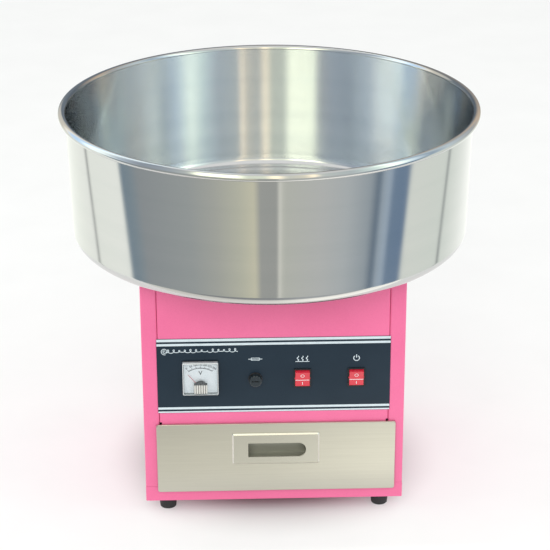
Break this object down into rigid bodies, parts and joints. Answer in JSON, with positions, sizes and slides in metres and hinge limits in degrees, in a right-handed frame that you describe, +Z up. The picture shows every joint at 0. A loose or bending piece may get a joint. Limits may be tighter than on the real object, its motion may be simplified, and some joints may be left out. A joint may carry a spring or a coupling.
{
  "type": "cotton candy machine",
  "caption": "Table-top cotton candy machine: lift-off metal bowl with rolled rim round a spinning heated head, over a painted cabinet with voltmeter, fuse, rocker switches and a drawer.",
  "frame": {"origin": "on the ground under the axis of the bowl and spinner, at the middle of the four feet's footprint", "axes": "+Z up along the bowl's axis; -Y is the front with the controls and the drawer; +X is to the right of the controls seen from above with the front at the bottom"},
  "size_m": [0.52, 0.52, 0.4899],
  "materials": {
    "pink_paint": "smooth semi-gloss powder coat",
    "control_film": "printed film, satin",
    "bowl_steel": "spun and polished, fine rings round the axis",
    "drawer_steel": "straight brushed",
    "pull_casting": "satin",
    "zinc_sheet": "zinc plated, dull",
    "black_rubber": "moulded, matt",
    "seal_rubber": "soft, matt",
    "plated_screws": "bright zinc",
    "black_plastic": "moulded, light grain",
    "fuse_cap_plastic": "moulded, gloss",
    "red_plastic": "gloss",
    "meter_case": "moulded",
    "meter_dial": "matt white with black scale",
    "meter_cover": "clear acrylic",
    "needle_red": "painted aluminium",
    "fuse_glass": "clear tube with metal end caps",
    "terminal_plastic": "moulded nylon",
    "brass": "bright",
    "spring_steel": "tempered strip",
    "shaft_steel": "ground",
    "cast_aluminium": "turned",
    "mesh_steel": "slotted band, heat tinted",
    "heater_wire": "oxidised resistance wire",
    "ceramic": "unglazed",
    "core_steel": "stacked laminations",
    "copper": "varnished copper wire",
    "motor_can": "black enamel",
    "fan_plastic": "moulded",
    "carbon": "pressed carbon"
  },
  "bodies": {
    "cabinet": {"base_pan": "pink_paint", "feet": "black_rubber", "foot_screws": "plated_screws", "left_side_panel": "pink_paint", "right_side_panel": "pink_paint", "rear_cover": "pink_paint", "front_panel": "pink_paint", "control_overlay": "control_film", "top_plate": "pink_paint", "divider_shelf": "zinc_sheet", "left_drawer_rail": "zinc_sheet", "right_drawer_rail": "zinc_sheet", "cabinet_screws": "plated_screws", "cord_gland": "black_plastic", "terminal_block": "terminal_plastic", "bowl_seal": "seal_rubber", "bowl_clips": "spring_steel", "motor_housing": "motor_can", "motor_stator": "core_steel", "motor_windings": "copper", "lower_end_cap": "cast_aluminium", "upper_end_cap": "cast_aluminium", "motor_bearings": "shaft_steel", "motor_bracket": "zinc_sheet", "rubber_mounts": "black_rubber", "mount_screws": "plated_screws", "brush_holder": "black_plastic", "carbon_brushes": "carbon", "brush_springs": "spring_steel", "power_switch_body": "black_plastic", "heat_switch_body": "black_plastic", "switch_terminals": "brass", "voltmeter_case": "meter_case", "voltmeter_dial": "meter_dial", "voltmeter_cover": "meter_cover", "voltmeter_hub": "black_plastic", "fuse_holder": "black_plastic"},
    "bowl": {"bowl": "bowl_steel"},
    "spinner": {"spinner_shaft": "shaft_steel", "rotor": "core_steel", "cooling_fan": "fan_plastic", "slip_ring_hub": "black_plastic", "slip_rings": "brass", "head_base": "cast_aluminium", "head_mesh": "mesh_steel", "heating_rings": "heater_wire", "element_posts": "ceramic", "head_cover": "cast_aluminium", "sugar_dish": "cast_aluminium", "head_screws": "plated_screws"},
    "drawer": {"drawer_front": "drawer_steel", "drawer_tray": "drawer_steel", "drawer_pull": "pull_casting", "pull_nuts": "plated_screws"},
    "heat_rocker": {"heat_rocker": "red_plastic"},
    "power_rocker": {"power_rocker": "red_plastic"},
    "voltmeter_needle": {"voltmeter_needle": "needle_red"},
    "fuse_carrier": {"fuse_link": "fuse_glass"},
    "fuse_cap": {"fuse_cap": "fuse_cap_plastic"}
  },
  "joints": [
    {"name": "bowl_lift", "type": "slide", "parent": "cabinet", "child": "bowl", "axis": [0, 0, 1], "range_m": [0, 0.12]},
    {"name": "head_spin", "type": "hinge", "parent": "cabinet", "child": "spinner", "pos_m": [0, 0, 0.27], "axis": [0, 0, 1], "continuous": true},
    {"name": "drawer_slide", "type": "slide", "parent": "cabinet", "child": "drawer", "axis": [0, -1, 0], "range_m": [0, 0.18]},
    {"name": "heat_switch", "type": "hinge", "parent": "cabinet", "child": "heat_rocker", "pos_m": [0.0349, -0.151, 0.1865], "axis": [-1, 0, 0], "range_deg": [0, 20]},
    {"name": "power_switch", "type": "hinge", "parent": "cabinet", "child": "power_rocker", "pos_m": [0.1009, -0.151, 0.1865], "axis": [-1, 0, 0], "range_deg": [0, 20]},
    {"name": "needle_swing", "type": "hinge", "parent": "cabinet", "child": "voltmeter_needle", "pos_m": [-0.0895, -0.1553, 0.177], "axis": [0, 1, 0], "range_deg": [0, 80], "stiffness_Nm_per_rad": 0.0004, "springref_deg": -17.19},
    {"name": "fuse_pull", "type": "slide", "parent": "cabinet", "child": "fuse_carrier", "axis": [0, -1, 0], "range_m": [0, 0.035]},
    {"name": "fuse_cap_turn", "type": "hinge", "parent": "fuse_carrier", "child": "fuse_cap", "pos_m": [-0.0225, -0.155, 0.186], "axis": [0, -1, 0], "range_deg": [0, 90]}
  ]
}
